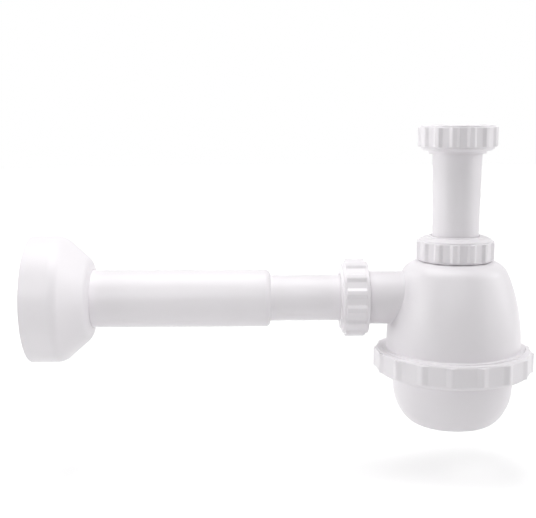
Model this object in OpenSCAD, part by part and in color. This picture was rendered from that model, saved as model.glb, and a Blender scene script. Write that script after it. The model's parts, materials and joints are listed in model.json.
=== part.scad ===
// Washbasin bottle trap with a 1 1/4 inch inlet and a 32/40 mm outlet, moulded in white plastic.
// Millimetres. The origin is the centre of the inlet's joint face and +Z runs up the bottle's axis.
// The outlet leaves along -X, towards the wall.

/* [Inlet tube] */
// Outside diameter of the inlet tube where it slides in the neck
inlet_od = 32; // [28:0.5:36]
// Wall of the inlet tube
inlet_wall = 1.8; // [1.5:0.1:2.4]
// How much the mould's draft widens the tube towards its flange, on the radius
inlet_draft = 0.95; // [0:0.05:1.2]
// Length of that drafted stretch
inlet_draft_len = 46; // [20:1:48]
// How far the tube's flange stands out
inlet_lip = 2.25; // [1.8:0.05:2.6]
// Thickness of the tube's flange
inlet_lip_t = 2.5; // [2:0.1:3]
// Thickness of the flat washer that lies on the flange
washer_t = 2.1; // [1.5:0.1:3]
// How much wider the inlet's pipe thread is than the tube: 41.91 mm, which is 1 1/4 inch, on 32 mm
thread_over = 9.91; // [9.5:0.01:11]
// Drop from the inlet's joint face to the outlet's axis
outlet_drop = 109.5; // [100:0.5:130]
// Depth of the water seal: how far the tube dips below the outlet's bore
seal_depth = 49.6; // [35:0.2:55]

/* [Bell] */
// Outside diameter of the bell at its foot
bell_od = 92.7; // [86:0.1:104]
// Wall of the bell
bell_wall = 2.5; // [2:0.1:3]
// Height of the bell's shoulder above the outlet's axis
shoulder_h = 25.8; // [24:0.1:32]
// Radius that rounds the shoulder into the side
shoulder_round = 13.4; // [8:0.1:16]
// Radius of the bell's bulging side
side_round = 122.5; // [100:0.5:180]
// Depth of the bell's widest place below the outlet's axis
foot_drop = 30.6; // [28:0.1:36]
// How far the threaded rim's core stands outside the bell
rim_step = 1.3; // [1:0.1:2]
// Drop from there to the top of the threaded rim
rim_drop = 5.2; // [3:0.1:8]
// Length of the rim's thread
rim_len = 9.7; // [8:0.1:14]
// Height of the neck above the shoulder
neck_h = 10.4; // [9:0.1:14]

/* [Outlet] */
// Wall of the spigot behind its thread
spigot_wall = 2.1; // [1.8:0.1:2.6]
// Distance from the bottle's axis to the spigot's mouth
spigot_reach = 72; // [70:0.5:100]
// Outside diameter of the thin end of the outlet pipe
pipe_thin_od = 32; // [28:0.5:36]
// Outside diameter of the thick end of the outlet pipe
pipe_thick_od = 40; // [38:0.5:48]
// Wall of the outlet pipe
pipe_wall = 2; // [1.6:0.1:2.6]
// Length of pipe that is pushed into the spigot
pipe_insert = 20; // [12:0.5:26]
// Length of the pipe's thin end
pipe_thin_len = 74.8; // [60:0.2:120]
// Length of the pipe's thick end
pipe_thick_len = 167.5; // [120:0.5:300]
// Length of the sized plug at the wall end
plug_len = 36; // [20:1:40]

/* [Wall flange] */
// Outside diameter of the wall flange
flange_od = 88; // [74:0.2:110]
// Depth of the wall flange, from the wall to its lip
flange_depth = 42.1; // [36:0.1:60]
// Length of the flange's straight rim
flange_rim = 19.4; // [12:0.1:24]
// Wall of the flange
flange_wall = 2.2; // [1.8:0.1:2.6]
// How far the pipe reaches into the wall, past the flange's back
pipe_past_flange = 6; // [0:0.5:20]

/* [Small nuts] */
// Wall of a small nut, from its thread to its flats
nut_wall = 4.05; // [3.4:0.05:6]
// Height of the grip ribs over those flats
nut_rib_h = 1.7; // [1:0.1:2.4]
// Number of grip ribs on a small nut
nut_ribs = 14; // [10:1:18]
// Width of one grip rib
nut_rib_w = 4.4; // [3:0.1:5]
// Thickness of a nut's shoulder, from its inner face to the end of its collar
nut_shoulder = 3; // [2.4:0.1:4]
// Depth of the pipe threads
thread_depth = 1.48; // [1.2:0.02:1.6]

/* [Ring nut and cup] */
// Wall of the ring nut, from its thread to its flats
ring_wall = 4; // [3.4:0.1:6]
// Height of the grip ribs over those flats
ring_rib_h = 1.75; // [1:0.05:3]
// Number of grip ribs on the ring nut
ring_ribs = 17; // [12:1:24]
// Width of one of those ribs
ring_rib_w = 6.2; // [4:0.1:8]
// Width of the ledge inside the ring nut, which carries the cup's flange
ring_ledge = 6.9; // [5:0.1:8]
// Thickness of that ledge
ring_ledge_t = 3; // [2.6:0.1:5]
// Depth of the coarse thread between the bell's rim and the ring nut
coarse_depth = 1.6; // [1.2:0.1:2]
// Thickness of the flat gasket under the bell's rim
gasket_t = 2.2; // [1.5:0.1:3]
// Wall of the cup
cup_wall = 2.5; // [2:0.1:3]
// Depth of the cup's floor below the ring nut
cup_drop = 35.1; // [30:0.1:66]
// How much of that depth is nearly straight side
cup_side = 10.3; // [4:0.1:14]
// Width of the cup's rounded haunch
cup_haunch = 15.5; // [12:0.1:24]

/* [Fits] */
// Clearance of a sliding tube in its bore, on the radius
slide_gap = 0.35; // [0.3:0.05:0.45]
// Clearance between a male thread and its nut, on the radius
thread_gap = 0.3; // [0.2:0.05:0.4]
// Gap between two faces that are drawn up against each other
face_gap = 0.1; // [0.05:0.05:0.2]

/* [Hidden] */
$fn = 96;

// Edge break of every moulded piece, and how far a cutting shape runs past a face
edge = 0.6;
cut = 1;

// Heights that the pieces share, measured from the inlet's joint face
outlet_z = -outlet_drop;
shoulder_z = outlet_z + shoulder_h;
neck_top_z = shoulder_z + neck_h;
foot_z = outlet_z - foot_drop;

// Radii of the tubes and of the thread at the inlet
inlet_r = inlet_od / 2;
inlet_top_r = inlet_r + inlet_draft;
inlet_in_r = inlet_r - inlet_wall;
inlet_lip_r = inlet_top_r + inlet_lip;
inlet_bore_r = inlet_r + thread_over / 2;
pipe_thin_r = pipe_thin_od / 2;
pipe_thick_r = pipe_thick_od / 2;

// Compression joint: a cone in the threaded mouth, a tapered seal, a slip ring and the nut's shoulder
seat_depth = 5.5;
seat_spread = 1.85;
seat_wall = 1.275;
seal_squeeze = 0.05;
seal_proud = 2;
slip_t = 1.1;
stack_h = seal_proud + slip_t + 2 * face_gap;

// Inlet joint, from its face down: washer, the tube's flange, the nut's shoulder
washer_gap = 0.2;
lip_top_z = -washer_gap - washer_t;
lip_under_z = lip_top_z - inlet_lip_t;
inlet_end_z = outlet_z - pipe_thin_r - slide_gap - seal_depth;
top_skirt = 1.4;
top_grip = 13;
top_collar = 2.8;
top_lip = 2;

// Neck nut, which stops just above the bell's shoulder
neck_skirt = 1.4;
neck_collar = 2.9;
neck_lip = 0.9;
neck_lip_wall = 2.4;
neck_nut_z = shoulder_z + 0.3;
neck_nut_h = neck_top_z + stack_h + nut_shoulder - neck_nut_z;

// Outlet nut
outlet_skirt = 2.3;
outlet_collar = 2;
outlet_lip = 1.6;
outlet_lip_wall = 5;
outlet_nut_h = 17.6;
outlet_nut_start = spigot_reach + stack_h + nut_shoulder - outlet_nut_h;

// Bell: the round of its shoulder lies inside the bulge of its side, and both meet smoothly
bell_r = bell_od / 2;
side_c = [bell_r - side_round, foot_z];
round_z = shoulder_z - shoulder_round;
round_c = [side_c[0] + sqrt(pow(side_round - shoulder_round, 2) - pow(round_z - foot_z, 2)), round_z];
round_end = atan2(round_z - foot_z, round_c[0] - side_c[0]);
rim_core_r = bell_r + rim_step;
coarse_r = rim_core_r + coarse_depth;
coarse_bore_r = coarse_r + thread_gap;
rim_top_z = foot_z - rim_drop;
rim_z = rim_top_z - edge - rim_len;
rim_fillet = 1;

// Ring nut, gasket and cup, from the bell's rim down
cup_top_z = rim_z - face_gap - gasket_t;
cup_lip_t = 2.4;
cup_lip_r = coarse_bore_r - 0.8;
ring_ledge_z = cup_top_z - cup_lip_t - face_gap;
ring_z = ring_ledge_z - ring_ledge_t;
ring_top_z = rim_top_z - 0.2;
ring_rib_top_z = ring_top_z - 0.5;
ring_grip = 13.1;
ring_flat_r = coarse_bore_r + ring_wall;
ring_hole_r = coarse_bore_r - ring_ledge;
cup_r = ring_hole_r - 0.6;
cup_z = ring_z - cup_drop;
cup_turn_z = ring_z - cup_side;
cup_taper = 0.8;
cup_full = 1.7;

// Outlet pipe and wall flange, as distances from the bottle's axis
pipe_start = spigot_reach - pipe_insert;
pipe_step = pipe_start + pipe_thin_len;
step_rise = pipe_thick_r - pipe_thin_r;
step_round = 0.6 * step_rise;
step_end = pipe_step + step_rise + step_round * (sqrt(2) - 1);
pipe_end = step_end + pipe_thick_len;
plug_ease = 0.1;
plug_taper = 1;
flange_back = pipe_end - pipe_past_flange;
flange_r = flange_od / 2;
flange_bore_r = pipe_thick_r + slide_gap;
flange_lip_start = flange_back - flange_depth;
flange_lip = 0.8;
flange_sleeve = 7;
nose_round = 6;
nose_c = [flange_bore_r + 2.55, flange_lip_start + flange_lip + nose_round];
brow_round = 8;
brow_c = [flange_r - brow_round, flange_back - flange_rim];

// Where the first rib of each nut stands, as an angle round its axis
top_rib_at = 260.5;
neck_rib_at = 258.7;
ring_rib_at = 259.1;
outlet_rib_at = 287.1;

// Radius of the threaded core of a mouth that takes a tube of radius r, and of the nut's bore on it
function core_of(r) = r + slide_gap + seat_spread + seat_wall;
function bore_of(r) = core_of(r) + thread_depth + thread_gap;

// Points on the arc of radius r round c, from angle a to angle b in n steps, less the first ones
function arc(c, r, a, b, n, less = 0) =
    [for (i = [less:n]) let (t = a + (b - a) * i / n) c + r * [cos(t), sin(t)]];

// Points on a quarter oval below c, from angle a to angle b; full makes it squarer than an ellipse
function oval(c, width, depth, full, a, b, n) =
    [for (i = [0:n]) let (t = a + (b - a) * i / n)
        c + [width * pow(cos(t), 2 / full), -depth * pow(sin(t), 2 / full)]];

// Turns a point by an angle round the origin
function turn(p, a) = [p[0] * cos(a) - p[1] * sin(a), p[0] * sin(a) + p[1] * cos(a)];

// Outline with flats at flat_r and count ribs of width w that stand rise proud, with rounded edges
function ribbed(count, flat_r, rise, w, first) =
    let (half = 180 / count,
         root = (flat_r - w / 2 * sin(half)) / cos(half),
         soft = 0.45 * rise,
         c = [flat_r + rise - soft, w / 2 - soft],
         rib = concat([[root, -w / 2]], arc([c[0], -c[1]], soft, -90, 0, 3),
             arc(c, soft, 0, 90, 3), [[root, w / 2]]))
    [for (i = [0:count - 1]) each [for (p = rib) turn(p, first + i * 360 / count)]];

// A solid turned round Z from its half section
module turned(points) {
    rotate_extrude() polygon(points);
}

// A hollow cylinder standing on z
module pipe(r, bore, z, h) {
    turned([[bore, z], [r, z], [r, z + h], [bore, z + h]]);
}

// Lays what stands on the XY plane along the outlet, its base d away from the bottle's axis
module along_outlet(d) {
    translate([-d, 0, outlet_z]) rotate([0, -90, 0]) children();
}

// The grip of a nut: a ribbed prism from z up, whose ribs are bevelled at both ends
module grip(count, flat_r, rise, w, first, z, h) {
    r = flat_r + rise;
    intersection() {
        translate([0, 0, z]) linear_extrude(h) polygon(ribbed(count, flat_r, rise, w, first));
        turned([[0, z - cut], [r - edge - cut, z - cut], [r + cut, z + edge + cut],
                [r + cut, z + h - edge - cut], [r - edge - cut, z + h + cut], [0, z + h + cut]]);
    }
}

// The outside of a small nut, its open end on the XY plane: skirt, grip, collar and lip
module nut_blank(flat_r, skirt, grip_h, collar, lip, lip_r, first) {
    collar_z = skirt + grip_h;
    end_z = collar_z + collar;
    collar_r = flat_r - 0.4;
    brow_z = min(collar_z + 1.5, end_z - edge);
    slope_r = min(lip_r + 2.9, collar_r - 1);
    turned([[0, 0], [collar_r - edge, 0], [collar_r, edge], [collar_r, brow_z - edge],
            [collar_r - 0.4, brow_z], [slope_r, end_z - 0.2], [slope_r - 0.6, end_z], [lip_r, end_z],
            [lip_r, end_z + lip - 0.4], [lip_r - 0.4, end_z + lip], [0, end_z + lip]]);
    grip(nut_ribs, flat_r, nut_rib_h, nut_rib_w, first, skirt, grip_h);
}

// A compression nut for a tube of radius r, the shoulder's far end at h and a lip of wall lip_wall beyond
module compression_nut(r, skirt, collar, lip, lip_wall, h, first) {
    bore = bore_of(r);
    hole = r + 0.6;
    difference() {
        nut_blank(bore + nut_wall, skirt, h - skirt - collar, collar, lip, hole + lip_wall, first);
        turned([[0, -cut], [bore + edge, -cut], [bore + edge, 0], [bore, edge],
                [bore, h - nut_shoulder], [hole, h - nut_shoulder], [hole, h + lip + cut],
                [0, h + lip + cut]]);
    }
}

// The tapered rubber seal for a tube of radius r, the mouth's face at 0 and its flat end up
module cone_seal(r) {
    bore = r + seal_squeeze;
    toe_z = 0.3 - seat_depth;
    head_r = r + slide_gap + seat_spread;
    slope = seat_spread / seat_depth;
    turned([[bore, toe_z], [head_r - face_gap + slope * toe_z, toe_z],
            [head_r - face_gap - slope * edge, -edge], [head_r, 0.4],
            [head_r, seal_proud - 0.3], [head_r - 0.3, seal_proud], [bore, seal_proud]]);
}

// The hard ring on the seal of a tube of radius r, which lets the nut turn without dragging it
module slip_ring(r) {
    pipe(core_of(r), r + slide_gap, seal_proud + face_gap, slip_t);
}

// The room in a mouth for a tube of radius r: the seal's cone and the sliding bore behind it
module mouth_room(r, depth) {
    bore = r + slide_gap;
    turned([[0, -depth], [bore, -depth], [bore, -seat_depth], [bore + seat_spread, 0],
            [bore + seat_spread, cut], [0, cut]]);
}

// Half section of the bell's outside, taken in by w
function bell_side(w) = concat(
    [[0, shoulder_z - w]],
    arc(round_c, shoulder_round - w, 90, round_end, 8),
    arc(side_c, side_round - w, round_end, 0, 12, 1));

// Half section of the flange's outside between its face and its rim, taken in by w
function flange_side(w) =
    let (gap = brow_c - nose_c,
         slope = atan2(gap[1], gap[0]) + asin((nose_round - brow_round) / norm(gap)))
    concat(arc(nose_c, nose_round - w, -90, slope - 90, 6), arc(brow_c, brow_round - w, slope - 90, 0, 5));

module inlet_tube() {
    color("white")
        turned([[inlet_in_r, inlet_end_z], [inlet_r - edge, inlet_end_z], [inlet_r, inlet_end_z + 2 * edge],
                [inlet_r, lip_under_z - inlet_draft_len], [inlet_top_r, lip_under_z],
                [inlet_lip_r - edge / 2, lip_under_z], [inlet_lip_r, lip_under_z + edge / 2],
                [inlet_lip_r, lip_top_z], [inlet_in_r, lip_top_z]]);
}

module top_washer() {
    color("dimgray")
        pipe(inlet_lip_r - 0.2, inlet_in_r + 0.3, lip_top_z, washer_t);
}

module top_nut() {
    hole = inlet_top_r + 0.55;
    pocket = inlet_lip_r + 0.6;
    under = lip_under_z - face_gap;
    base = under - nut_shoulder - top_lip;
    h = top_skirt + top_grip + top_collar + top_lip;
    mouth = base + h;
    color("white")
        difference() {
            translate([0, 0, mouth]) mirror([0, 0, 1])
                nut_blank(inlet_bore_r + thread_gap + nut_wall, top_skirt, top_grip, top_collar, top_lip,
                    hole + 2.2, top_rib_at);
            turned([[0, base - cut], [hole, base - cut], [hole, under], [pocket, under],
                    [pocket, -washer_gap / 2], [inlet_bore_r, -washer_gap / 2],
                    [inlet_bore_r, mouth - edge], [inlet_bore_r + edge, mouth],
                    [inlet_bore_r + edge, mouth + cut], [0, mouth + cut]]);
        }
}

module trap_body() {
    thread_len = outlet_nut_h - nut_shoulder - stack_h - cut;
    foot_r = bell_r - bell_wall;
    color("white")
        difference() {
            union() {
                turned(concat(bell_side(0),
                    arc([bell_r + rim_fillet, rim_top_z + rim_fillet], rim_fillet, 180, 270, 4),
                    [[coarse_r, rim_top_z], [coarse_r, rim_top_z - edge],
                     [rim_core_r, rim_top_z - edge], [rim_core_r, rim_z + edge],
                     [rim_core_r - edge, rim_z], [0, rim_z]]));
                translate([0, 0, shoulder_z - bell_wall / 2])
                    cylinder(r = core_of(inlet_r), h = neck_h + bell_wall / 2);
                along_outlet(0) cylinder(r = pipe_thin_r + slide_gap + spigot_wall, h = spigot_reach - cut);
                along_outlet(spigot_reach - thread_len) cylinder(r = core_of(pipe_thin_r), h = thread_len);
            }
            turned(concat(bell_side(bell_wall), [[foot_r, rim_z - cut], [0, rim_z - cut]]));
            translate([0, 0, neck_top_z]) mouth_room(inlet_r, neck_h + bell_wall + cut);
            along_outlet(spigot_reach) mouth_room(pipe_thin_r, spigot_reach - inlet_r);
        }
}

module neck_seal() {
    color("dimgray")
        translate([0, 0, neck_top_z]) cone_seal(inlet_r);
}

module neck_slip_ring() {
    color("gainsboro")
        translate([0, 0, neck_top_z]) slip_ring(inlet_r);
}

module neck_nut() {
    color("white")
        translate([0, 0, neck_nut_z])
            compression_nut(inlet_r, neck_skirt, neck_collar, neck_lip, neck_lip_wall, neck_nut_h,
                neck_rib_at);
}

module cup_gasket() {
    color("dimgray")
        pipe(cup_lip_r - 0.4, bell_r - bell_wall + 0.3, cup_top_z, gasket_t);
}

module cup() {
    side_r = cup_r - cup_taper;
    depth = cup_turn_z - cup_z;
    c = [side_r - cup_haunch, cup_turn_z];
    color("white")
        turned(concat(
            [[0, cup_z]], oval(c, cup_haunch, depth, cup_full, 90, 0, 20),
            [[cup_r, ring_z + edge], [cup_r, cup_top_z - cup_lip_t], [cup_lip_r, cup_top_z - cup_lip_t],
             [cup_lip_r, cup_top_z], [cup_r - cup_wall, cup_top_z], [cup_r - cup_wall, ring_z + edge]],
            oval(c, cup_haunch - cup_wall, depth - cup_wall, cup_full, 0, 90, 20),
            [[0, cup_z + cup_wall]]));
}

module ring_nut() {
    haunch_c = [ring_hole_r + 0.8, ring_rib_top_z - ring_grip];
    core_r = ring_flat_r - 0.1;
    color("white")
        difference() {
            union() {
                turned(concat(
                    [[0, ring_top_z], [ring_flat_r - 1, ring_top_z], [ring_flat_r - 0.4, ring_top_z - 0.25],
                     [core_r, ring_rib_top_z - edge]],
                    oval(haunch_c, core_r - haunch_c[0], haunch_c[1] - ring_z, 2, 0, 90, 12),
                    [[0, ring_z]]));
                grip(ring_ribs, ring_flat_r, ring_rib_h, ring_rib_w, ring_rib_at, haunch_c[1], ring_grip);
            }
            turned([[0, ring_z - cut], [ring_hole_r, ring_z - cut], [ring_hole_r, ring_ledge_z],
                    [coarse_bore_r, ring_ledge_z], [coarse_bore_r, ring_top_z - edge / 2],
                    [coarse_bore_r + edge / 2, ring_top_z], [coarse_bore_r + edge / 2, ring_top_z + cut],
                    [0, ring_top_z + cut]]);
        }
}

module outlet_seal() {
    color("dimgray")
        along_outlet(spigot_reach) cone_seal(pipe_thin_r);
}

module outlet_slip_ring() {
    color("gainsboro")
        along_outlet(spigot_reach) slip_ring(pipe_thin_r);
}

module outlet_nut() {
    color("white")
        along_outlet(outlet_nut_start)
            compression_nut(pipe_thin_r, outlet_skirt, outlet_collar, outlet_lip, outlet_lip_wall,
                outlet_nut_h, outlet_rib_at);
}

module outlet_pipe() {
    thin_in = pipe_thin_r - pipe_wall;
    thick_in = pipe_thick_r - pipe_wall;
    plug_r = pipe_thick_r - plug_ease;
    plug_start = pipe_end - plug_len;
    crest_c = [pipe_thick_r - step_round, step_end];
    color("white")
        along_outlet(0)
            turned(concat(
                [[thin_in, pipe_start], [pipe_thin_r - edge, pipe_start],
                 [pipe_thin_r, pipe_start + 2 * edge], [pipe_thin_r, pipe_step]],
                arc(crest_c, step_round, -45, 0, 5),
                [[pipe_thick_r, plug_start], [plug_r, plug_start + plug_taper], [plug_r, pipe_end - edge],
                 [plug_r - edge, pipe_end], [thick_in, pipe_end],
                 [thick_in, step_end + edge], [thin_in, step_end + edge - step_rise]]));
}

module wall_flange() {
    sleeve_r = flange_bore_r + 1.05;
    face = flange_lip_start + flange_lip;
    outer = flange_side(0);
    inner = flange_side(flange_wall);
    color("white")
        along_outlet(0)
            turned(concat(
                [[flange_bore_r, flange_lip_start], [sleeve_r - 0.3, flange_lip_start],
                 [sleeve_r, flange_lip_start + 0.3], [sleeve_r, face]],
                outer,
                [[flange_r, flange_back - 0.5], [flange_r - 0.5, flange_back],
                 [flange_r - flange_wall, flange_back]],
                [for (i = [len(inner) - 1:-1:0]) inner[i]],
                [[sleeve_r + 1, face + flange_wall], [sleeve_r + 1, face + flange_sleeve],
                 [flange_bore_r, face + flange_sleeve]]));
}

inlet_tube();
top_washer();
top_nut();
trap_body();
neck_seal();
neck_slip_ring();
neck_nut();
cup_gasket();
cup();
ring_nut();
outlet_seal();
outlet_slip_ring();
outlet_nut();
outlet_pipe();
wall_flange();
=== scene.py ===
# %% [markdown]
# A bottle trap for a washbasin
#
# Fifteen pieces of white plastic and rubber: a tube that hangs from the basin, a bell and a screw-off cup
# that hold the water, a stepped pipe to the wall, and the nuts, seals and rings that join them.
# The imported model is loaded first. It gives the real size and place of every piece, and it never moves.

# %% Load the frame
import json
import math
import bmesh
import bpy
from mathutils import Matrix, Vector

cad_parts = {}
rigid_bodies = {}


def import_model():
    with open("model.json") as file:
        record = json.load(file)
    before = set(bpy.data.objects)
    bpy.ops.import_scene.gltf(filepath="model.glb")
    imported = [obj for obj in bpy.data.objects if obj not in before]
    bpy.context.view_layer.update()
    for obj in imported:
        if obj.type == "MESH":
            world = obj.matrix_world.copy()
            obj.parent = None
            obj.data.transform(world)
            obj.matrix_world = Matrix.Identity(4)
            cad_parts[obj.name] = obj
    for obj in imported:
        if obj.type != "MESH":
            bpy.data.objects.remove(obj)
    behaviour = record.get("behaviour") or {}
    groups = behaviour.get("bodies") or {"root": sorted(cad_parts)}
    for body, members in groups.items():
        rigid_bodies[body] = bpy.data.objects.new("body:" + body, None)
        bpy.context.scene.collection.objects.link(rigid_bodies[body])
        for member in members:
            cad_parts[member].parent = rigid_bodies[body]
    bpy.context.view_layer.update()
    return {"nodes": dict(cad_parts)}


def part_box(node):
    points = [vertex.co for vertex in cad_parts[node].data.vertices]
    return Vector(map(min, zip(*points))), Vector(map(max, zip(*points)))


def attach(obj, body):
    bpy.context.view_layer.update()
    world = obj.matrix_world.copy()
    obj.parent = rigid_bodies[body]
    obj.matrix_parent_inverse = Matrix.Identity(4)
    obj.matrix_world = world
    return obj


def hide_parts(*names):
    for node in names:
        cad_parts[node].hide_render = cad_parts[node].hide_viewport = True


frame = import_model()
print("nodes:", ", ".join(sorted(frame["nodes"])))

# %% [markdown]
# Measures
#
# A plumber thinks in millimetres, and Blender in metres. So the pieces are drawn in millimetres and
# scaled down once, when they are finished. The heights and lengths that place a piece are read from the
# frame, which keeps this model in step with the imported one. Wall thicknesses, rounds and threads are
# too small to read from a box, so they are named here.

# %% Measures from the frame
MM = 0.001
X, Y, Z = 0, 1, 2
UP = Vector((0, 0, 1))


def span(node, axis):
    """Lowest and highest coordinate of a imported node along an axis, in millimetres."""
    low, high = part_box(node)
    return low[axis] / MM, high[axis] / MM


outlet_z = sum(span("outlet_pipe", Z)) / 2
neck_top_z = span("neck_seal", Z)[1] - 2
rim_z = span("trap_body", Z)[0]
mouth_x = span("trap_body", X)[0]
print(f"outlet axis {outlet_z:.1f} mm, neck {neck_top_z:.1f}, rim {rim_z:.1f}, mouth {mouth_x:.1f}")

# %% Sizes that several pieces share
TUBE_R = 16.0
TUBE_BORE = 14.2
SLIDE_R = TUBE_R + 0.35
THREAD_CORE = 19.475
THREAD_CREST = 20.955
THREAD_GAP = 0.3
PIPE_PITCH = 2.309
COARSE_PITCH = 5.0
NUT_FLAT = THREAD_CREST + THREAD_GAP + 4.05
NUT_RIB = 1.7

# %% [markdown]
# Turning an outline
#
# Nearly every piece here is round, as if turned on a lathe: its half section is drawn as a chain of
# vertices and spun round the axis. A moulded edge is never sharp, so each corner of the chain may carry
# a radius. Bevelling a vertex of a bare chain turns the corner into an arc, and that is far easier
# than bevelling the finished solid, because the arc is spun along with the rest.

# %% Outlines with rounded corners
ROUND_STEPS = 4
TURN_STEPS = 96


def set_back(before, corner, after, radius):
    """How far from a corner the arc of that radius leaves the two sides."""
    return radius / math.tan((before - corner).angle(after - corner) / 2)


def draw_outline(bm, points, closed=True):
    """A chain in the XZ plane through (radius, height) or (radius, height, round) points."""
    spots = [Vector((p[0], 0, p[1])) for p in points]
    verts = [bm.verts.new(s) for s in spots]
    edges = [bm.edges.new(pair) for pair in zip(verts, verts[1:])]
    if closed:
        edges.append(bm.edges.new((verts[-1], verts[0])))
    for i, point in enumerate(points):
        if len(point) > 2:
            distance = set_back(spots[i - 1], spots[i], spots[(i + 1) % len(spots)], point[2])
            bmesh.ops.bevel(bm, geom=[verts[i]], offset=distance, offset_type="OFFSET",
                            segments=ROUND_STEPS, profile=0.5, affect="VERTICES", material=-1)


def spin_chain(bm, geometry, steps=TURN_STEPS):
    """Spins a chain once round the Z axis and closes its seam and its poles."""
    bmesh.ops.spin(bm, geom=geometry, cent=(0, 0, 0), axis=UP, angle=math.tau, steps=steps, use_merge=True)
    bmesh.ops.remove_doubles(bm, verts=bm.verts, dist=0.0005)


def turn_solid(points, steps=TURN_STEPS):
    """A closed solid of revolution about Z, in millimetres."""
    bm = bmesh.new()
    draw_outline(bm, points)
    spin_chain(bm, bm.verts[:] + bm.edges[:], steps)
    bmesh.ops.recalc_face_normals(bm, faces=bm.faces)
    return bm


def arc(centre, radius, start, end, steps, skip=0):
    """Points on an arc round a (radius, height) centre, between two angles in degrees."""
    turn = math.radians(end - start)
    angles = [math.radians(start) + turn * i / steps for i in range(skip, steps + 1)]
    return [(centre[0] + radius * math.cos(a), centre[1] + radius * math.sin(a)) for a in angles]


print("a turned piece has", TURN_STEPS, "steps round its axis")

# %% [markdown]
# Finishing a piece
#
# A finished piece is scaled to metres, shaded smooth with its real edges kept sharp, given its finish and
# hung on the moving body it rides on. It is named after the imported node it stands for, which is hidden.
# Weighted normals keep the flat faces flat next to their small rounds, so highlights stay clean.

# %% Finish a piece
SHARP_ANGLE = math.radians(35)
pieces = {}


def add_piece(bm, name, body, material):
    """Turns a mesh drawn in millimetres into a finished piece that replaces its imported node."""
    bmesh.ops.scale(bm, vec=(MM, MM, MM), verts=bm.verts)
    mesh = bpy.data.meshes.new(name)
    bm.to_mesh(mesh)
    bm.free()
    mesh.shade_smooth()
    mesh.set_sharp_from_angle(angle=SHARP_ANGLE)
    mesh.materials.append(material)
    piece = bpy.data.objects.new("shown_" + name, mesh)
    bpy.context.scene.collection.objects.link(piece)
    weighted = piece.modifiers.new("clean highlights", "WEIGHTED_NORMAL")
    weighted.keep_sharp = True
    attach(piece, body)
    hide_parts(name)
    pieces[name] = piece
    print(f"{name}: {len(mesh.polygons)} faces on body {body}")
    return piece


def lay_along_outlet(bm, start=0.0):
    """Lays what stands on the XY plane along the outlet, its foot that far from the bottle's axis."""
    lay = Matrix.Translation((-start, 0, outlet_z)) @ Matrix.Rotation(math.radians(-90), 4, "Y")
    bmesh.ops.transform(bm, matrix=lay, verts=bm.verts)


# %% [markdown]
# The skin of moulded plastic
#
# Glossy polypropylene isn't perfectly even. The steel mould leaves a faint orange peel, the melt cools
# in slightly cloudy patches, and handling dulls the gloss here and there. All the plastics and rubbers
# share these three effects, so they are one node group with its own strengths in each material.
# The group gives only a colour, a roughness and a normal; the shader itself stays in the material.

# %% Node group for a moulded skin
def add_node(tree, kind, inputs=None, **settings):
    """A node with some of its inputs and settings filled in."""
    node = tree.nodes.new(kind)
    for key, value in settings.items():
        setattr(node, key, value)
    for key, value in (inputs or {}).items():
        node.inputs[key].default_value = value
    return node


def skin_group():
    """Clouded colour, patchy gloss and orange peel, on a piece's own Object coordinates."""
    tree = bpy.data.node_groups.new("moulded_skin", "ShaderNodeTree")
    sockets = [("Tone", "NodeSocketColor"), ("Cloud Tone", "NodeSocketColor"), ("Cloud Scale", "NodeSocketFloat"),
               ("Gloss Low", "NodeSocketFloat"), ("Gloss High", "NodeSocketFloat"), ("Peel Scale", "NodeSocketFloat"),
               ("Peel Depth", "NodeSocketFloat")]
    for name, kind in sockets:
        tree.interface.new_socket(name, in_out="INPUT", socket_type=kind)
    for name, kind in [("Color", "NodeSocketColor"), ("Roughness", "NodeSocketFloat"), ("Normal", "NodeSocketVector")]:
        tree.interface.new_socket(name, in_out="OUTPUT", socket_type=kind)
    given = tree.nodes.new("NodeGroupInput")
    result = tree.nodes.new("NodeGroupOutput")
    place = tree.nodes.new("ShaderNodeTexCoord")
    join = tree.links.new
    cloud = add_node(tree, "ShaderNodeTexNoise", {"Detail": 3.0, "Roughness": 0.5})
    patch = add_node(tree, "ShaderNodeTexNoise", {"Detail": 4.0, "Roughness": 0.65, "Scale": 95.0})
    peel = add_node(tree, "ShaderNodeTexNoise", {"Detail": 2.0, "Roughness": 0.4})
    for noise in (cloud, patch, peel):
        join(place.outputs["Object"], noise.inputs["Vector"])
    join(given.outputs["Cloud Scale"], cloud.inputs["Scale"])
    join(given.outputs["Peel Scale"], peel.inputs["Scale"])
    blend = add_node(tree, "ShaderNodeMix", data_type="RGBA")
    join(cloud.outputs["Fac"], blend.inputs["Factor"])
    join(given.outputs["Tone"], blend.inputs["A"])
    join(given.outputs["Cloud Tone"], blend.inputs["B"])
    join(blend.outputs["Result"], result.inputs["Color"])
    gloss = add_node(tree, "ShaderNodeMapRange", {"From Min": 0.3, "From Max": 0.7})
    join(patch.outputs["Fac"], gloss.inputs["Value"])
    join(given.outputs["Gloss Low"], gloss.inputs["To Min"])
    join(given.outputs["Gloss High"], gloss.inputs["To Max"])
    join(gloss.outputs["Result"], result.inputs["Roughness"])
    bump = add_node(tree, "ShaderNodeBump", {"Strength": 1.0})
    join(given.outputs["Peel Depth"], bump.inputs["Distance"])
    join(peel.outputs["Fac"], bump.inputs["Height"])
    join(bump.outputs["Normal"], result.inputs["Normal"])
    return tree


moulded_skin = skin_group()
print("group", moulded_skin.name, "has", len(moulded_skin.nodes), "nodes")


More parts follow.
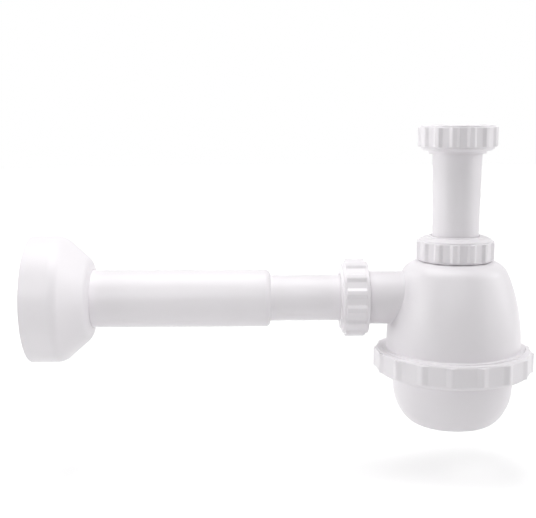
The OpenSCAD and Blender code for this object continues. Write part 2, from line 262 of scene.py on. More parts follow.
# %% Materials
def skin_material(name, shader_inputs, **strengths):
    """A Principled material whose colour, gloss and normal come from the moulded skin."""
    material = bpy.data.materials.new(name)
    material.use_nodes = True
    tree = material.node_tree
    shader = tree.nodes["Principled BSDF"]
    skin = tree.nodes.new("ShaderNodeGroup")
    skin.node_tree = moulded_skin
    for key, value in strengths.items():
        skin.inputs[key.replace("_", " ").title()].default_value = value
    tree.links.new(skin.outputs["Color"], shader.inputs["Base Color"])
    tree.links.new(skin.outputs["Roughness"], shader.inputs["Roughness"])
    tree.links.new(skin.outputs["Normal"], shader.inputs["Normal"])
    for key, value in shader_inputs.items():
        shader.inputs[key].default_value = value
    return material


white_plastic = skin_material(
    "satin_white_plastic", {"IOR": 1.49},
    tone=(0.87, 0.843, 0.87, 1), cloud_tone=(0.862, 0.836, 0.862, 1), cloud_scale=8.0,
    gloss_low=0.3, gloss_high=0.35, peel_scale=420.0, peel_depth=0.000004)
ring_plastic = skin_material(
    "slip_ring_plastic", {"IOR": 1.51},
    tone=(0.8, 0.8, 0.78, 1), cloud_tone=(0.74, 0.74, 0.72, 1), cloud_scale=60.0,
    gloss_low=0.42, gloss_high=0.55, peel_scale=700.0, peel_depth=0.00003)
seal_rubber = skin_material(
    "black_seal_rubber", {"IOR": 1.52},
    tone=(0.03, 0.03, 0.033, 1), cloud_tone=(0.06, 0.06, 0.063, 1), cloud_scale=120.0,
    gloss_low=0.55, gloss_high=0.75, peel_scale=1500.0, peel_depth=0.00004)
print("materials:", ", ".join(m.name for m in bpy.data.materials if m.name.endswith(("plastic", "rubber"))))

# %% [markdown]
# The inlet tube
#
# The tube hangs from the basin waste. Its flange lies in the top nut under a flat washer, its wall
# tapers slightly where the mould let go of it, and its foot dips into the cup to make the water seal.

# %% Inlet tube and its washer
tube_foot, tube_top = span("inlet_tube", Z)
tube_flange_r = span("inlet_tube", X)[1]
FLANGE_T = 2.5
DRAFT = 0.95
DRAFT_LENGTH = 46
flange_under = tube_top - FLANGE_T
add_piece(turn_solid([
    (TUBE_BORE, tube_foot, 0.4), (TUBE_R, tube_foot, 0.8), (TUBE_R, flange_under - DRAFT_LENGTH),
    (TUBE_R + DRAFT, flange_under, 0.6), (tube_flange_r, flange_under, 0.3), (tube_flange_r, tube_top, 0.3),
    (TUBE_BORE, tube_top, 0.3)]), "inlet_tube", "inlet", white_plastic)


def flat_ring(node, inner, soft):
    """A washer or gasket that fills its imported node's box, with soft edges."""
    low, high = span(node, Z)
    outer = span(node, X)[1]
    return turn_solid([(inner, low, soft), (outer, low, soft), (outer, high, soft), (inner, high, soft)])


add_piece(flat_ring("top_washer", 14.5, 0.35), "top_washer", "inlet", seal_rubber)

# %% [markdown]
# Screw threads
#
# A thread is one tooth carried round a cylinder while it climbs. Spin does this when it is given a
# small lift for every step. The tooth is a closed tube whose foot is sunk in the wall, and it fades out
# over part of a turn at both ends, as a moulded thread does, so that a nut finds its way on.
# Nuts carry the same tooth pointing inwards, half a pitch further up, so the two lie in each other.

# %% One tooth along a helix
THREAD_STEPS = 48
FADE_STEPS = 14
SUNK = 0.2


def cut_thread(bm, wall, crest, pitch, low, high, offset=0.0):
    """Adds a helical tooth from wall to crest between two heights; crest < wall points it inwards."""
    side = math.copysign(1, crest - wall)
    foot = wall - side * SUNK
    shoulder = wall + 0.86 * (crest - wall)
    steps = int((high - low - 0.8 * pitch) / pitch * THREAD_STEPS)
    middle = low + 0.4 * pitch + offset
    tooth = [(foot, -0.4), (shoulder, -0.14), (crest, -0.06), (crest, 0.06), (shoulder, 0.14), (foot, 0.4)]
    ring = [bm.verts.new((r, 0, middle + z * pitch)) for r, z in tooth]
    loop = [bm.edges.new((ring[i - 1], ring[i])) for i in range(len(ring))]
    known = set(bm.verts)
    spun = bmesh.ops.spin(bm, geom=ring + loop, cent=(0, 0, 0), axis=UP, dvec=UP * pitch / THREAD_STEPS,
                          angle=math.tau * steps / THREAD_STEPS, steps=steps)
    new_verts = ring + [v for v in bm.verts if v not in known]
    for number, vert in enumerate(new_verts):
        step = number // len(ring)
        fade = min(1, (step + 0.5) / FADE_STEPS, (steps - step + 0.5) / FADE_STEPS)
        distance = math.hypot(vert.co.x, vert.co.y)
        scale = (foot + (distance - foot) * fade) / distance
        vert.co.x *= scale
        vert.co.y *= scale
    bmesh.ops.contextual_create(bm, geom=loop)
    bmesh.ops.contextual_create(bm, geom=[e for e in spun["geom_last"] if isinstance(e, bmesh.types.BMEdge)])
    return new_verts


print("one turn of a thread has", THREAD_STEPS, "steps")

# %% [markdown]
# The ribbed grip of a nut
#
# A hand-tightened nut has a flat between each two ribs, so wet fingers don't slip. The outline of one
# rib and one flat is drawn, copied round the axis by spin, and rounded corner by corner. Filled and
# extruded it becomes a prism, and bevelling the rims of its two end faces rounds every rib's ends at
# once. The end faces are then taken away again, because the turned parts of the nut are joined there.

# %% Grip ribs
def rib_outline(bm, count, flat, rise, widths, level):
    """A closed chain with count ribs and as many flats, at one height; widths are a rib's foot and tip."""
    half = math.pi / count
    foot_half, tip_half = widths[0] / 2, widths[1] / 2
    root = (flat - foot_half * math.sin(half)) / math.cos(half)
    tip = flat + rise
    corners = [Vector((root, -foot_half, level)), Vector((tip, -tip_half, level)),
               Vector((tip, tip_half, level)), Vector((root, foot_half, level))]
    corners.append(Matrix.Rotation(2 * half, 3, "Z") @ corners[0])
    chain = [bm.verts.new(c) for c in corners]
    links = [bm.edges.new(pair) for pair in zip(chain, chain[1:])]
    bmesh.ops.spin(bm, geom=chain + links, cent=(0, 0, 0), axis=UP, angle=math.tau - 2 * half,
                   steps=count - 1, use_duplicate=True)
    bmesh.ops.remove_doubles(bm, verts=bm.verts, dist=0.001)
    middle_r = (root + tip) / 2
    for radius, wanted in ((RIB_ROUND, True), (ROOT_ROUND, False)):
        corner = [v for v in bm.verts if (v.co.xy.length > middle_r) == wanted and not v.tag]
        bmesh.ops.bevel(bm, geom=corner, offset=radius, offset_type="OFFSET", segments=3, profile=0.5,
                        affect="VERTICES", material=-1)
        for vert in bm.verts:
            vert.tag = vert.co.xy.length > middle_r


RIB_ROUND = 0.6
ROOT_ROUND = 0.35
END_ROUND = 0.3


def grip_prism(count, flat, rise, widths, first, low, high):
    """The ribbed wall of a nut between two heights, open at both ends."""
    bm = bmesh.new()
    rib_outline(bm, count, flat, rise, widths, low)
    bmesh.ops.rotate(bm, cent=(0, 0, 0), matrix=Matrix.Rotation(math.radians(first), 3, "Z"), verts=bm.verts)
    floor = bmesh.ops.contextual_create(bm, geom=bm.edges[:])["faces"]
    raised = bmesh.ops.extrude_face_region(bm, geom=floor)["geom"]
    lifted = [v for v in raised if isinstance(v, bmesh.types.BMVert)]
    bmesh.ops.translate(bm, vec=(0, 0, high - low), verts=lifted)
    ends = [f for f in bm.faces if len(f.verts) > 4]
    rims = [e for f in ends for e in f.edges]
    bmesh.ops.bevel(bm, geom=rims, offset=END_ROUND, offset_type="OFFSET", segments=3, profile=0.5,
                    affect="EDGES", material=-1)
    ends = [f for f in bm.faces if len(f.verts) > 4 and abs(f.normal.z) > 0.9]
    bmesh.ops.delete(bm, geom=ends, context="FACES_ONLY")
    return bm


def close_flat(bm, level):
    """Fills the flat ring between the two open loops at one height."""
    rims = [e for e in bm.edges if e.is_boundary and all(abs(v.co.z - level) < 0.001 for v in e.verts)]
    bmesh.ops.triangle_fill(bm, use_beauty=True, edges=rims)


def ribbed_nut(grip, outline):
    """Joins a grip prism to the turned chain that runs from its lower end to its upper end."""
    low, high = outline[0][1], outline[-1][1]
    known = set(grip.verts)
    draw_outline(grip, outline, closed=False)
    chain = [v for v in grip.verts if v not in known]
    links = {e for v in chain for e in v.link_edges}
    spin_chain(grip, chain + list(links))
    close_flat(grip, low)
    close_flat(grip, high)
    bmesh.ops.recalc_face_normals(grip, faces=grip.faces)
    return grip


print("ribs are rounded to", RIB_ROUND, "mm")

# %% [markdown]
# The three small nuts
#
# The nuts at the inlet, the neck and the outlet are cousins: the same thread, fourteen ribs, a skirt
# below the ribs and a sloping collar above. They differ in how long the skirt and the collar are and
# in the hole for the tube. One function draws them standing on their open end.

# %% Small nuts
SMALL_RIBS = 14
SMALL_RIB_W = (6.6, 3.0)
COLLAR_R = NUT_FLAT - 0.4


def small_nut(skirt, grip, collar, lip, lip_r, inside, first):
    """A small nut on its open end: inside is its turned inner wall, from the mouth to the lip's end."""
    ribs_end = skirt + grip
    collar_end = ribs_end + collar
    end = collar_end + lip
    prism = grip_prism(SMALL_RIBS, NUT_FLAT, NUT_RIB, SMALL_RIB_W, first, skirt, ribs_end)
    outline = [(COLLAR_R, skirt), (COLLAR_R, 0, 0.5)] + inside + [
        (lip_r, end, 0.4), (lip_r, collar_end, 0.4), (min(lip_r + 2.7, COLLAR_R - 0.7), collar_end, 0.5),
        (COLLAR_R, ribs_end + 1.3, 0.8), (COLLAR_R, ribs_end)]
    return ribbed_nut(prism, outline)


def compression_nut(skirt, height, collar, lip, lip_wall, first):
    """A nut that squeezes a seal onto a sliding tube."""
    bore = THREAD_CREST + THREAD_GAP
    hole = TUBE_R + 0.6
    shoulder = height - 3
    nut = small_nut(skirt, height - skirt - collar, collar, lip, hole + lip_wall, [
        (bore + 0.6, 0), (bore, 0.6), (bore, shoulder, 0.3), (hole, shoulder, 0.3), (hole, height + lip, 0.3)], first)
    return nut


neck_nut_foot, neck_nut_end = span("neck_nut", Z)
nut = compression_nut(1.4, neck_nut_end - neck_nut_foot - 0.9, 2.9, 0.9, 2.4, 258.7)
bmesh.ops.translate(nut, vec=(0, 0, neck_nut_foot), verts=nut.verts)
cut_thread(nut, THREAD_CREST + THREAD_GAP, THREAD_CORE + THREAD_GAP, PIPE_PITCH,
           neck_nut_foot + 0.6, neck_top_z + 1.5, PIPE_PITCH / 2)
add_piece(nut, "neck_nut", "neck_union", white_plastic)
outlet_far, outlet_mouth = span("outlet_nut", X)
OUTLET_NUT_H = 17.6
outlet_foot = -outlet_mouth
nut = compression_nut(2.3, OUTLET_NUT_H, 2.0, -outlet_far - outlet_foot - OUTLET_NUT_H, 5.0, 287.1)
cut_thread(nut, THREAD_CREST + THREAD_GAP, THREAD_CORE + THREAD_GAP, PIPE_PITCH,
           0.6, -mouth_x - outlet_foot + 1.5, PIPE_PITCH / 2)
lay_along_outlet(nut, outlet_foot)
add_piece(nut, "outlet_nut", "outlet_union", white_plastic)

# %% [markdown]
# The top nut is turned over
#
# The nut at the inlet opens upwards, towards the basin. It is drawn on its open end like the others and
# then mirrored. A mirror turns a mesh inside out, so its normals are worked out again afterwards.

# %% Top nut
top_foot, top_mouth = span("top_nut", Z)
TOP_SKIRT, TOP_GRIP, TOP_COLLAR, TOP_LIP = 1.4, 13.0, 2.8, 2.0
TOP_HOLE = TUBE_R + DRAFT + 0.55
top_pocket = tube_flange_r + 0.6
seat_depth = top_mouth - (flange_under - 0.1)
THREAD_DEPTH = top_mouth + 0.1
nut = small_nut(TOP_SKIRT, TOP_GRIP, TOP_COLLAR, TOP_LIP, TOP_HOLE + 2.2, [
    (THREAD_CREST + 0.6, 0), (THREAD_CREST, 0.6), (THREAD_CREST, THREAD_DEPTH, 0.2),
    (top_pocket, THREAD_DEPTH, 0.2), (top_pocket, seat_depth, 0.3), (TOP_HOLE, seat_depth, 0.3),
    (TOP_HOLE, top_mouth - top_foot, 0.3)], -260.5)
bmesh.ops.scale(nut, vec=(1, 1, -1), verts=nut.verts)
bmesh.ops.translate(nut, vec=(0, 0, top_mouth), verts=nut.verts)
bmesh.ops.recalc_face_normals(nut, faces=nut.faces)
cut_thread(nut, THREAD_CREST, THREAD_CORE, PIPE_PITCH, 0.2, top_mouth - 0.5)
add_piece(nut, "top_nut", "union", white_plastic)

# %% [markdown]
# The bell and its two threaded mouths
#
# The trap's body was moulded in one shot: a bell, a neck on top for the tube, a spigot at the side for
# the pipe, and a threaded rim below. Two of its parts are turned round different axes, and a lathe can't
# do that. So each is made as a plain solid, and Boolean modifiers join the outsides first and take
# away the insides afterwards, which leaves one wall of even thickness.

# %% Bell outline
BELL_WALL = 2.5
SIDE_ROUND, SHOULDER_ROUND = 122.5, 13.4
RIM_STEP, COARSE_DEPTH = 1.3, 1.6
crest_r = span("trap_body", X)[1]
rim_core = crest_r - COARSE_DEPTH
bell_r = rim_core - RIM_STEP
FOOT_DROP, RIM_DROP, SHOULDER_RISE, NECK_H = 30.6, 5.2, 25.8, 10.4
RIM_FILLET = 1.0
foot_z = outlet_z - FOOT_DROP
shoulder_z = neck_top_z - NECK_H
rim_top_z = foot_z - RIM_DROP
side_c = (bell_r - SIDE_ROUND, foot_z)
round_z = shoulder_z - SHOULDER_ROUND
round_c = (side_c[0] + math.sqrt((SIDE_ROUND - SHOULDER_ROUND) ** 2 - (round_z - foot_z) ** 2), round_z)
round_end = math.degrees(math.atan2(round_z - foot_z, round_c[0] - side_c[0]))


def bell_side(taken_in):
    """The bell's bulging side, from the shoulder down to the foot, moved in by a wall thickness."""
    return (arc(round_c, SHOULDER_ROUND - taken_in, 90, round_end, 10)
            + arc(side_c, SIDE_ROUND - taken_in, round_end, 0, 16, 1))


print(f"bell {2 * bell_r:.1f} mm across, thread {2 * crest_r:.1f} mm, shoulder at {shoulder_z:.1f} mm")


# %% Mouths of the compression joints
SEAT_DEPTH, SEAT_SPREAD = 5.5, 1.85
SPIGOT_R = SLIDE_R + 2.1
SPIGOT_THREAD = 10.3


def mouth_cutter(top, depth):
    """The room in a mouth: the cone that takes the seal, and the sliding bore behind it."""
    return turn_solid([(0, top - depth), (SLIDE_R, top - depth), (SLIDE_R, top - SEAT_DEPTH),
                       (SLIDE_R + SEAT_SPREAD, top), (SLIDE_R + SEAT_SPREAD + 0.3, top + 0.3),
                       (SLIDE_R + SEAT_SPREAD + 0.3, top + 1), (0, top + 1)])


def solid_object(bm, name):
    """A scratch object for a Boolean step."""
    mesh = bpy.data.meshes.new(name)
    bm.to_mesh(mesh)
    bm.free()
    scratch = bpy.data.objects.new(name, mesh)
    bpy.context.scene.collection.objects.link(scratch)
    return scratch


def combine(target, steps):
    """Runs (operation, solid) steps on an object and returns the result as a bmesh."""
    tools = []
    for number, (operation, solid) in enumerate(steps):
        tool = solid_object(solid, f"{target.name}_step_{number}")
        change = target.modifiers.new(operation.lower(), "BOOLEAN")
        change.operation = operation
        change.solver = "EXACT"
        change.object = tool
        tools.append(tool)
    bpy.context.view_layer.update()
    shaped = target.evaluated_get(bpy.context.evaluated_depsgraph_get())
    bm = bmesh.new()
    bm.from_mesh(shaped.data)
    for scratch in tools + [target]:
        bpy.data.objects.remove(scratch)
    return bm


# %% Trap body
bell = solid_object(turn_solid(
    [(0, neck_top_z), (THREAD_CORE, neck_top_z, 0.3), (THREAD_CORE, shoulder_z, 0.8)] + bell_side(0)
    + arc((bell_r + RIM_FILLET, rim_top_z + RIM_FILLET), RIM_FILLET, 180, 270, 6)
    + [(crest_r, rim_top_z, 0.3), (crest_r, rim_top_z - 0.6, 0.2),
       (rim_core, rim_top_z - 0.6), (rim_core, rim_z, 0.6), (0, rim_z)]), "bell")
spigot = turn_solid([(0, 30), (SPIGOT_R, 30), (SPIGOT_R, -mouth_x - SPIGOT_THREAD),
                     (THREAD_CORE, -mouth_x - SPIGOT_THREAD, 0.3), (THREAD_CORE, -mouth_x, 0.4), (0, -mouth_x)])
lay_along_outlet(spigot)
foot_r = bell_r - BELL_WALL
hollow = turn_solid([(0, shoulder_z - BELL_WALL)] + bell_side(BELL_WALL)
                    + [(foot_r, rim_z), (foot_r + 0.5, rim_z - 0.5), (foot_r + 0.5, rim_z - 1), (0, rim_z - 1)])
outlet_room = mouth_cutter(-mouth_x, -mouth_x - TUBE_R)
lay_along_outlet(outlet_room)
body = combine(bell, [("UNION", spigot), ("DIFFERENCE", hollow),
                      ("DIFFERENCE", mouth_cutter(neck_top_z, NECK_H + BELL_WALL + 1)),
                      ("DIFFERENCE", outlet_room)])
open_edges = sum(not e.is_manifold for e in body.edges)
print(f"trap body: {len(body.faces)} faces, {open_edges} open edges")

# %% Threads of the trap body
cut_thread(body, THREAD_CORE, THREAD_CREST, PIPE_PITCH, shoulder_z + 0.9, neck_top_z - 0.3)
cut_thread(body, rim_core, crest_r, COARSE_PITCH, rim_z + 0.6, rim_top_z - 0.7)
spigot_thread = bmesh.new()
cut_thread(spigot_thread, THREAD_CORE, THREAD_CREST, PIPE_PITCH, -mouth_x - SPIGOT_THREAD + 0.3, -mouth_x - 0.4)
lay_along_outlet(spigot_thread)
scratch_mesh = bpy.data.meshes.new("spigot_thread")
spigot_thread.to_mesh(scratch_mesh)
spigot_thread.free()
body.from_mesh(scratch_mesh)
bpy.data.meshes.remove(scratch_mesh)
add_piece(body, "trap_body", "trap", white_plastic)

# %% [markdown]
# Seals and slip rings
#
# A tapered rubber seal sits in each mouth's cone. The nut presses on it through a hard, slippery ring,
# so the nut turns without dragging the rubber along. Both tubes are the same size, so the same two
# shapes serve the neck and, laid over, the outlet.

# %% Seals and slip rings
SEAL_BORE = TUBE_R + 0.05
SEAL_PROUD, SEAL_TOE = 2.0, 5.2
HEAD_R = SLIDE_R + SEAT_SPREAD
SLOPE = SEAT_SPREAD / SEAT_DEPTH
RING_T = 1.1


def cone_seal():
    """The tapered seal with the mouth's face at zero."""
    return turn_solid([(SEAL_BORE, -SEAL_TOE), (HEAD_R - 0.1 - SLOPE * SEAL_TOE, -SEAL_TOE),
                       (HEAD_R - 0.1 - SLOPE * 0.6, -0.6), (HEAD_R, 0.4), (HEAD_R, SEAL_PROUD, 0.3),
                       (SEAL_BORE, SEAL_PROUD, 0.15)])


def slip_ring():
    """The thin hard ring that lies on the seal."""
    low = SEAL_PROUD + 0.1
    return turn_solid([(SLIDE_R, low, 0.2), (THREAD_CORE, low, 0.2), (THREAD_CORE, low + RING_T, 0.2),
                       (SLIDE_R, low + RING_T, 0.2)])


for shape, name, body_name, material, slot in (
        (cone_seal, "seal", {"neck": "neck_cone", "outlet": "trap"}, seal_rubber, "seal_rubber"),
        (slip_ring, "slip_ring", {"neck": "neck_ring", "outlet": "outlet_ring"}, ring_plastic, "ring_plastic")):
    at_neck = shape()
    bmesh.ops.translate(at_neck, vec=(0, 0, neck_top_z), verts=at_neck.verts)
    add_piece(at_neck, "neck_" + name, body_name["neck"], material)
    at_outlet = shape()
    lay_along_outlet(at_outlet, -mouth_x)
    add_piece(at_outlet, "outlet_" + name, body_name["outlet"], material)

# %% [markdown]
# The cup and its gasket
#
# The cup holds the water that keeps the drain's smell out, and what falls into it. Its haunch is
# fuller than an ellipse, so it is drawn as a superellipse: the power over the sine and cosine says how
# square the corner looks. The same curve, a wall's thickness smaller, is its inside.

# %% Cup
cup_foot, cup_top = span("cup", Z)
cup_flange_r = span("cup", X)[1]
CUP_FLANGE_T, CUP_WALL, CUP_TAPER, CUP_SIDE, CUP_HAUNCH, CUP_FULL = 2.4, 2.5, 0.8, 10.3, 15.5, 1.7
RING_HOLE = 42.65
cup_r = RING_HOLE - 0.6
ring_foot, ring_top = span("ring_nut", Z)
turn_z = ring_foot - CUP_SIDE


def haunch(taken_in, start, end, steps=28):
    """Points down a rounded haunch, between two angles of its superellipse."""
    angles = [math.radians(start + (end - start) * i / steps) for i in range(steps + 1)]
    width, depth = CUP_HAUNCH - taken_in, turn_z - cup_foot - taken_in
    centre_r = cup_r - CUP_TAPER - CUP_HAUNCH
    return [(centre_r + width * max(0, math.cos(a)) ** (2 / CUP_FULL),
             turn_z - depth * max(0, math.sin(a)) ** (2 / CUP_FULL)) for a in angles]


cup_inner = cup_r - CUP_WALL
add_piece(turn_solid(
    [(0, cup_foot)] + haunch(0, 90, 0)
    + [(cup_r, ring_foot + 0.6), (cup_r, cup_top - CUP_FLANGE_T, 0.4), (cup_flange_r, cup_top - CUP_FLANGE_T, 0.4),
       (cup_flange_r, cup_top, 0.4), (cup_inner, cup_top, 0.5), (cup_inner, ring_foot + 0.6)]
    + haunch(CUP_WALL, 0, 90) + [(0, cup_foot + CUP_WALL)]), "cup", "sump", white_plastic)
add_piece(flat_ring("cup_gasket", foot_r + 0.3, 0.3), "cup_gasket", "sump", seal_rubber)

# %% [markdown]
# The ring nut
#
# The big ring holds the cup against the bell by a ledge inside it. It has seventeen ribs, made in the
# same way as those of the small nuts, and below them a rounded haunch that runs down to the cup.

# %% Ring nut
RING_RIBS, RING_RIB_W, RING_RIB_H, RING_GRIP = 17, (8.0, 1.4), 1.75, 13.1
coarse_bore = crest_r + THREAD_GAP
ring_flat = coarse_bore + 4
ring_ledge_z = cup_top - CUP_FLANGE_T - 0.1
ribs_top = ring_top - 0.95
ribs_foot = ribs_top - RING_GRIP
ring_wall_r = ring_flat - END_ROUND - 0.1
haunch_r = RING_HOLE + 0.8
haunch_points = [(haunch_r + (ring_wall_r - haunch_r) * math.cos(math.radians(a)),
                  ribs_foot - (ribs_foot - ring_foot) * math.sin(math.radians(a))) for a in range(0, 91, 6)]
ring = ribbed_nut(
    grip_prism(RING_RIBS, ring_flat, RING_RIB_H, RING_RIB_W, 259.1, ribs_foot, ribs_top),
    haunch_points + [(RING_HOLE, ring_foot, 0.3), (RING_HOLE, ring_ledge_z, 0.3), (coarse_bore, ring_ledge_z, 0.4),
                     (coarse_bore, ring_top - 0.7), (crest_r + 0.1, ring_top - 0.4), (crest_r + 0.1, ring_top, 0.1),
                     (ring_wall_r, ring_top, 0.85),
                     (ring_wall_r, ribs_top)])
cut_thread(ring, coarse_bore, rim_core + THREAD_GAP, COARSE_PITCH, rim_z + 0.4, ring_top - 0.8, COARSE_PITCH / 2)
add_piece(ring, "ring_nut", "sump_ring", white_plastic)

# %% [markdown]
# The outlet pipe and the wall flange
#
# The pipe is thin where it slides in the trap and steps up to the common waste size with a short
# rounded cone. The flange slides along it to hide the hole in the wall: a thin bowl with a straight
# rim, a round brow and a short sleeve that grips the pipe.

# %% Outlet pipe
pipe_end, pipe_start = (-x for x in span("outlet_pipe", X))
thick_r = (span("outlet_pipe", Z)[1] - span("outlet_pipe", Z)[0]) / 2
PIPE_WALL, THIN_LENGTH, PLUG_LENGTH, PLUG_EASE = 2.0, 74.8, 36.0, 0.1
step_start = pipe_start + THIN_LENGTH
rise = thick_r - TUBE_R
step_end = step_start + 1.25 * rise
STEP_ROUND = 3.8
plug_start = pipe_end - PLUG_LENGTH
plug_r = thick_r - PLUG_EASE
pipe = turn_solid(
    [(TUBE_R - PIPE_WALL, pipe_start, 0.5), (TUBE_R, pipe_start, 0.8), (TUBE_R, step_end - STEP_ROUND, 0.4)]
    + arc((thick_r - STEP_ROUND, step_end), STEP_ROUND, -80, 0, 8)
    + [(thick_r, plug_start), (plug_r, plug_start + 1), (plug_r, pipe_end, 0.7),
       (thick_r - PIPE_WALL, pipe_end, 0.5), (thick_r - PIPE_WALL, step_end + 0.6, 0.6),
       (TUBE_R - PIPE_WALL, step_end + 0.6 - rise, 0.6)])
lay_along_outlet(pipe)
add_piece(pipe, "outlet_pipe", "outlet", white_plastic)

# %% Wall flange
flange_back, lip_start = (-x for x in span("wall_flange", X))
flange_r = (span("wall_flange", Z)[1] - span("wall_flange", Z)[0]) / 2
FLANGE_WALL, FLANGE_RIM, NOSE_ROUND, BROW_ROUND, LIP_T, SLEEVE = 2.2, 17.7, 8.0, 12.0, 0.8, 7.0
flange_bore = thick_r + 0.12
sleeve_r = flange_bore + 1.3
face = lip_start + LIP_T
nose_c = Vector((flange_bore + 3.55, face + NOSE_ROUND))
brow_c = Vector((flange_r - BROW_ROUND, flange_back - FLANGE_RIM))
gap = brow_c - nose_c
slope = math.degrees(math.atan2(gap.y, gap.x) + math.asin((NOSE_ROUND - BROW_ROUND) / gap.length))


def flange_side(taken_in):
    """The flange's face from its nose to its rim, moved in by a wall thickness."""
    return (arc(nose_c, NOSE_ROUND - taken_in, -90, slope - 90, 10)
            + arc(brow_c, BROW_ROUND - taken_in, slope - 90, 0, 8))


flange = turn_solid(
    [(flange_bore, lip_start, 0.35), (sleeve_r, lip_start, 0.6)] + flange_side(0)
    + [(flange_r, flange_back, 0.5), (flange_r - FLANGE_WALL, flange_back, 0.4)] + flange_side(FLANGE_WALL)[::-1]
    + [(sleeve_r + 1, face + FLANGE_WALL, 0.4), (sleeve_r + 1, face + SLEEVE, 0.4),
       (flange_bore, face + SLEEVE, 0.3)])
lay_along_outlet(flange)
add_piece(flange, "wall_flange", "rosette", white_plastic)
print(len(pieces), "pieces finished")

# %% [markdown]
# The studio
#
# White on white is lit from the sides and from above, with the darkest part of each round piece facing
# the camera: that is what draws its form. The floor is a plain pale disc below the trap, which hangs
# from its inlet. Both the floor and the world behind it look white to the camera and in reflections,
# while the light that they throw on the trap stays modest. Near the trap the floor glows less than
# further off. The lamps make it white there, and where the trap keeps their light away, a soft shadow stays.

# %% Floor
FLOOR_Z = -0.236
FLOOR_R = 4.0
NEAR_GLOW, GLOW_RISE_FROM, GLOW_RISE_TO = 0.35, 0.3, 0.9


def seen_only(tree):
    """One for camera, glossy and transmission rays, zero for light that falls on things."""
    rays = tree.nodes.new("ShaderNodeLightPath")
    total = rays.outputs["Is Camera Ray"]
    for name in ("Is Glossy Ray", "Is Transmission Ray"):
        either = add_node(tree, "ShaderNodeMath", operation="MAXIMUM")
        tree.links.new(total, either.inputs[0])
        tree.links.new(rays.outputs[name], either.inputs[1])
        total = either.outputs[0]
    return total


def paper_glow(tree):
    """How brightly the paper is seen to glow: little near the trap, so its shadow stays, and white far off."""
    place = tree.nodes.new("ShaderNodeTexCoord")
    away = add_node(tree, "ShaderNodeVectorMath", operation="DISTANCE")
    away.inputs[1].default_value = (-0.12, 0, FLOOR_Z)
    tree.links.new(place.outputs["Object"], away.inputs[0])
    rise = add_node(tree, "ShaderNodeMapRange", {"From Min": GLOW_RISE_FROM, "From Max": GLOW_RISE_TO,
                                                 "To Min": NEAR_GLOW})
    tree.links.new(away.outputs["Value"], rise.inputs["Value"])
    glow = add_node(tree, "ShaderNodeMath", operation="MULTIPLY")
    tree.links.new(rise.outputs["Result"], glow.inputs[0])
    tree.links.new(seen_only(tree), glow.inputs[1])
    return glow.outputs[0]


floor_bm = bmesh.new()
bmesh.ops.create_circle(floor_bm, cap_ends=True, segments=128, radius=FLOOR_R)
bmesh.ops.translate(floor_bm, vec=(0, 0, FLOOR_Z), verts=floor_bm.verts)
floor = solid_object(floor_bm, "floor")
paper = bpy.data.materials.new("paper")
paper.use_nodes = True
paper_shader = paper.node_tree.nodes["Principled BSDF"]
paper_shader.inputs["Base Color"].default_value = (0.9, 0.9, 0.9, 1)
paper_shader.inputs["Roughness"].default_value = 0.9
paper_shader.inputs["Emission Color"].default_value = (1, 1, 1, 1)
paper.node_tree.links.new(paper_glow(paper.node_tree), paper_shader.inputs["Emission Strength"])
floor.data.materials.append(paper)
print("floor", FLOOR_R * 2, "m across")

# %% World
FILL = 0.01
world = bpy.data.worlds.new("studio")
bpy.context.scene.world = world
world.use_nodes = True
sky = world.node_tree
seen = add_node(sky, "ShaderNodeBackground", {"Color": (1, 1, 1, 1), "Strength": 1.0})
thrown = sky.nodes["Background"]
thrown.inputs["Color"].default_value = (1, 1, 1, 1)
thrown.inputs["Strength"].default_value = FILL
choose = sky.nodes.new("ShaderNodeMixShader")
sky.links.new(seen_only(sky), choose.inputs[0])
sky.links.new(thrown.outputs[0], choose.inputs[1])
sky.links.new(seen.outputs[0], choose.inputs[2])
sky.links.new(choose.outputs[0], sky.nodes["World Output"].inputs["Surface"])
print("fill light", FILL)

# %% Lamps
middle = Vector((-0.12, 0, -0.1))
flange_end = Vector((-0.27, 0, -0.11))


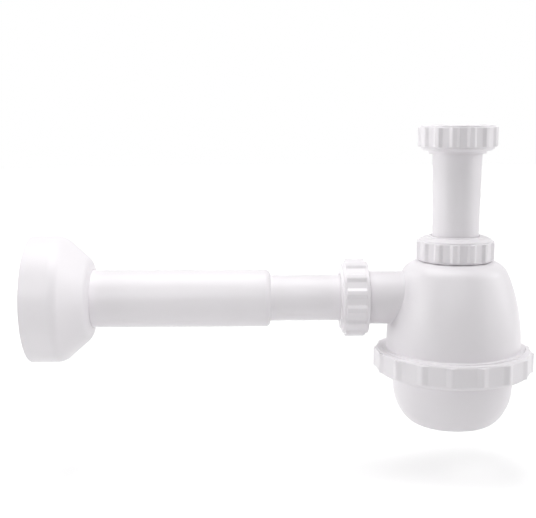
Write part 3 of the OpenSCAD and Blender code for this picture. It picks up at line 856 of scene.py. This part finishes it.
def soft_box(name, place, size, watts, aim=middle, spread=180):
    """A rectangular area lamp that faces the trap; a small spread is a grid on its front."""
    lamp = bpy.data.lights.new(name, "AREA")
    lamp.shape = "RECTANGLE"
    lamp.size, lamp.size_y = size
    lamp.energy = watts
    lamp.spread = math.radians(spread)
    stand = bpy.data.objects.new(name, lamp)
    stand.location = place
    stand.rotation_euler = (aim - stand.location).to_track_quat("-Z", "Y").to_euler()
    bpy.context.scene.collection.objects.link(stand)
    return stand


soft_box("top_box", (-0.15, 0, 0.55), (0.6, 0.6), 3.7)
soft_box("right_box", (0.88, 0, 0.74), (0.8, 0.8), 3.9)
soft_box("low_right_box", (1.14, 0, 0.24), (0.8, 0.8), 3.6)
soft_box("left_back_box", (-1.21, 0.63, 0.24), (0.8, 0.8), 5.0)
soft_box("left_box", (-0.95, -0.25, 0.05), (0.5, 0.4), 2.2, flange_end)
soft_box("front_box", (-0.12, -1.07, 0.65), (0.8, 0.8), 2.1)
soft_box("front_right_box", (1.0, -0.6, 0.08), (0.5, 0.5), 1.25)
soft_box("gridded_front_box", (-0.45, -0.75, 0.25), (0.4, 0.4), 0.07, flange_end, spread=35)
print("lamps:", ", ".join(lamp.name for lamp in bpy.data.lights))

# %% [markdown]
# The camera
#
# The camera stands a little above the outlet and looks slightly down, as in the photograph. Its place
# and its lens were found from the sizes of the pipe, the flange and the nuts in the picture.

# %% Camera
CAMERA_PLACE = Vector((-0.12953, -0.64133, 0.01769))
PITCH, ROLL = math.radians(-8.848), math.radians(-0.295)
LENS, SENSOR = 62.88, 36.0
lens = bpy.data.cameras.new("camera")
lens.lens = LENS
lens.sensor_width = SENSOR
lens.sensor_fit = "HORIZONTAL"
lens.clip_start = 0.01
camera = bpy.data.objects.new("camera", lens)
camera.matrix_world = (Matrix.Translation(CAMERA_PLACE) @ Matrix.Rotation(math.radians(90) + PITCH, 4, "X")
                       @ Matrix.Rotation(ROLL, 4, "Z"))
bpy.context.scene.collection.objects.link(camera)
bpy.context.scene.camera = camera
bpy.context.scene.view_settings.view_transform = "Standard"
print("camera at", [round(c, 3) for c in camera.matrix_world.translation])
